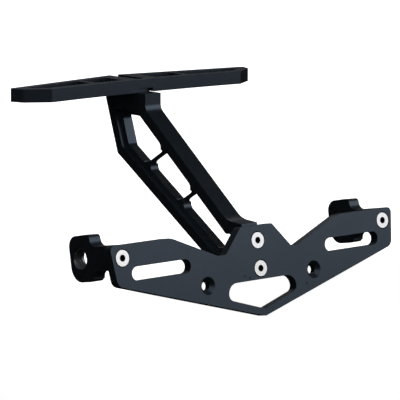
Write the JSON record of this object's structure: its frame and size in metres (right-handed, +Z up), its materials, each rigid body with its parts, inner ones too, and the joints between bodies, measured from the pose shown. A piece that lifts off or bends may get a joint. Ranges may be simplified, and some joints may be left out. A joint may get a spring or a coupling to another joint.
{
  "type": "tail tidy",
  "caption": "Machined tail tidy: slotted tail bar, sloping windowed arm and wide number plate bracket with threaded indicator brackets; black anodised, bright screws",
  "frame": {"origin": "on the top face of the tail bar, at mid width, on the land behind the centre slot, where the part meets the bike's tail", "axes": "+X to the right across the bike, +Y forward along the bike, +Z up; the number plate face looks along -Y and leans forward 10 degrees"},
  "size_m": [0.2156, 0.1444, 0.1297],
  "materials": {
    "anodised_aluminium": "black anodised, fine bead-blasted satin",
    "plated_steel": "bright zinc plated, satin"
  },
  "bodies": {
    "root": {"tail_bar": "anodised_aluminium", "arm": "anodised_aluminium", "number_plate_bracket": "anodised_aluminium", "indicator_bracket_left": "anodised_aluminium", "indicator_bracket_right": "anodised_aluminium", "plate_screw_upper": "plated_steel", "plate_screw_lower": "plated_steel", "end_screw_left": "plated_steel", "end_screw_right": "plated_steel"}
  },
  "joints": []
}
